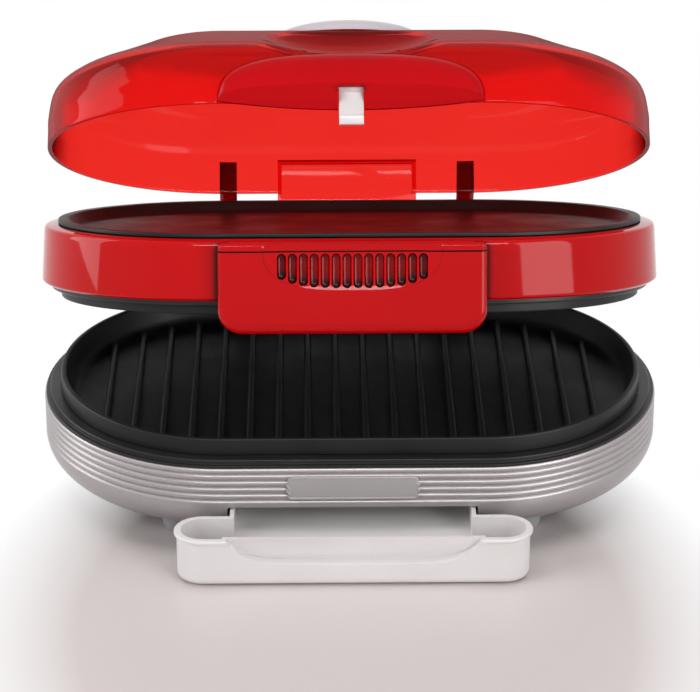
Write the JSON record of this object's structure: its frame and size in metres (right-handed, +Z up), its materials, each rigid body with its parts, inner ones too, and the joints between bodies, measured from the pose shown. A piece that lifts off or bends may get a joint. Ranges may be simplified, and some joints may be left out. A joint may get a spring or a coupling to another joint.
{
  "type": "hamburger maker",
  "caption": "Table-top hamburger maker: ribbed grill base, hinged middle body with an upper grill and a bun tray, clear lid with a latch clip, and a slide-out drip tray.",
  "frame": {"origin": "on the table, under the middle of the whole appliance as it stands open", "axes": "+X to the appliance's right as its user sees it from the front, +Y to the hinges at the rear, +Z up"},
  "size_m": [0.318, 0.2692, 0.2406],
  "materials": {
    "silver_plastic": "silver painted plastic, satin",
    "cast_black": "cast aluminium with a black non-stick coating",
    "black_plastic": "moulded black, low sheen",
    "red_plastic": "high gloss",
    "clear_red_plastic": "translucent red, high gloss",
    "pale_plastic": "moulded pale grey, satin",
    "clip_white": "moulded off-white",
    "grey_plastic": "pale metallic grey",
    "bare_steel": "bare",
    "reflector_sheet": "bare bright sheet",
    "grey_rubber": "grey rubber"
  },
  "bodies": {
    "base": {"base_shell": "silver_plastic", "badge_plate": "silver_plastic", "base_collar": "black_plastic", "lower_grill_plate": "cast_black", "drip_spout": "bare_steel", "lower_heating_element": "bare_steel", "lower_reflector": "reflector_sheet", "thermostat": "black_plastic", "thermal_fuse": "pale_plastic", "terminal_block": "pale_plastic", "tray_housing": "black_plastic", "bottom_cover": "black_plastic", "bottom_screw_1": "bare_steel", "bottom_screw_2": "bare_steel", "bottom_screw_3": "bare_steel", "bottom_screw_4": "bare_steel", "cord_gland": "black_plastic", "foot_front_left": "grey_rubber", "foot_front_right": "grey_rubber", "foot_rear_left": "grey_rubber", "foot_rear_right": "grey_rubber", "hinge_bracket_left": "black_plastic", "hinge_bracket_right": "black_plastic", "hinge_pin_left": "bare_steel", "hinge_pin_right": "bare_steel"},
    "tray": {"drip_tray": "pale_plastic"},
    "middle": {"upper_housing": "red_plastic", "front_handle": "red_plastic", "bun_tray": "cast_black", "middle_collar": "black_plastic", "upper_grill_plate": "cast_black", "upper_heating_element": "bare_steel", "upper_reflector": "reflector_sheet", "middle_hinge_arm_left": "black_plastic", "middle_hinge_arm_right": "black_plastic", "lid_pin_left": "bare_steel", "lid_pin_right": "bare_steel"},
    "lid": {"lid_dome": "clear_red_plastic", "lid_rear_plate": "clear_red_plastic", "lid_handle": "clear_red_plastic", "lid_medallion": "grey_plastic", "latch_pin": "bare_steel", "lid_hinge_ear_left": "red_plastic", "lid_hinge_ear_right": "red_plastic"},
    "clip": {"latch_clip": "clip_white"}
  },
  "joints": [
    {"name": "tray_slide", "type": "slide", "parent": "base", "child": "tray", "axis": [0, -1, 0], "range_m": [0, 0.062]},
    {"name": "middle_hinge", "type": "hinge", "parent": "base", "child": "middle", "pos_m": [0, 0.11868, 0.045], "axis": [-1, 0, 0], "range_deg": [-16.5, 57]},
    {"name": "lid_hinge", "type": "hinge", "parent": "middle", "child": "lid", "pos_m": [0, 0.12862, 0.09055], "axis": [-1, 0, 0], "range_deg": [-18.2, 57]},
    {"name": "latch_pivot", "type": "hinge", "parent": "lid", "child": "clip", "pos_m": [0, -0.04188, 0.22637], "axis": [-1, 0, 0], "range_deg": [-3, 3], "stiffness_Nm_per_rad": 0.05}
  ]
}
